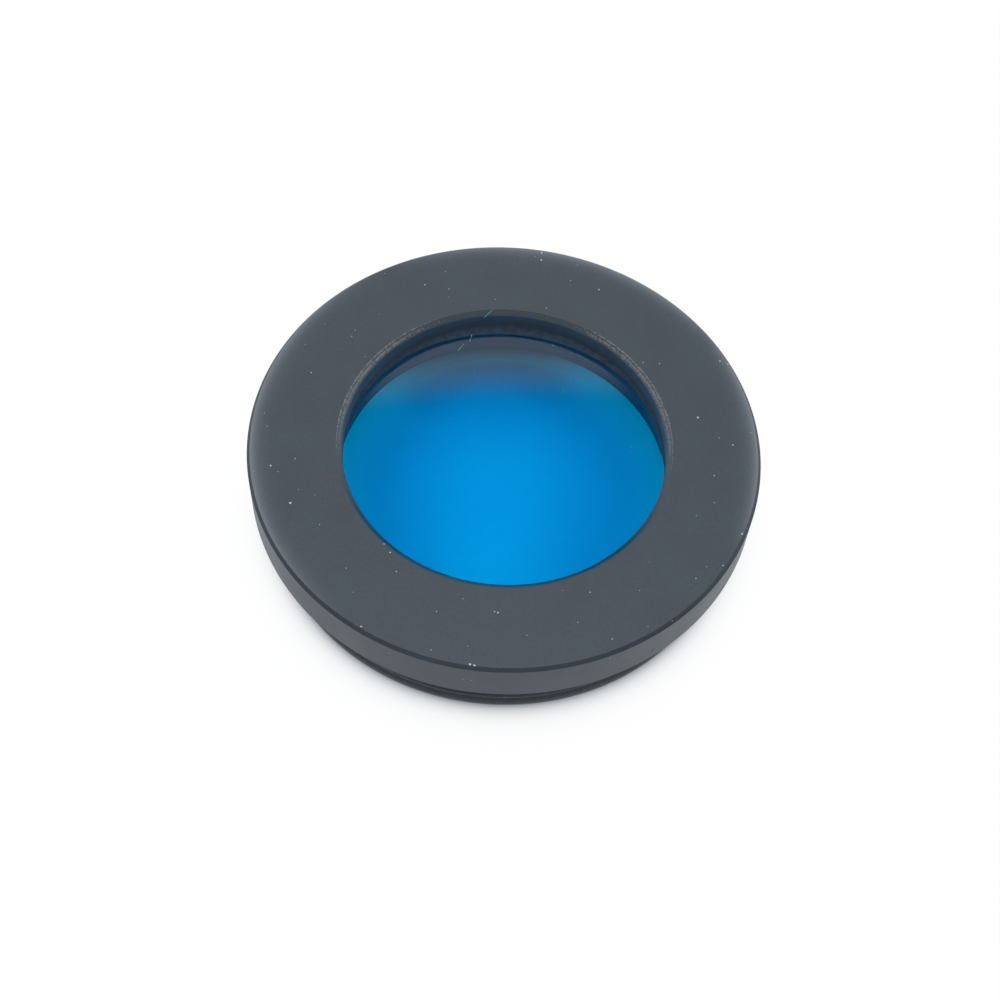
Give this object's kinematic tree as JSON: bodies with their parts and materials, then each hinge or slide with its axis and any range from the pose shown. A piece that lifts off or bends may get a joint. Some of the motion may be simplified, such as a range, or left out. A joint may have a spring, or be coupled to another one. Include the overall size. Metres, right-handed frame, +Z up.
{
  "type": "telescope moon filter",
  "caption": "Round eyepiece filter: a black turned cell with a broad flange and a threaded spigot holds a blue glass disc against its lip with a slotted ring.",
  "frame": {"origin": "middle of the lower end of the male thread, on the optical axis, in the plane that the filter rests on", "axes": "+Z up along the optical axis, from the thread towards the flange; X and Y lie across the filter, and X runs through the slots of the retaining ring"},
  "size_m": [0.0308, 0.0308, 0.0065],
  "materials": {
    "black_anodised_cell": "turned aluminium, bead-blasted and matte black anodised, with light wear on its edges",
    "blue_filter_glass": "polished glass dyed blue through its thickness",
    "black_anodised_ring": "turned aluminium, matte black anodised"
  },
  "bodies": {
    "root": {"filter_cell": "black_anodised_cell", "filter_glass": "blue_filter_glass", "retaining_ring": "black_anodised_ring"}
  },
  "joints": []
}
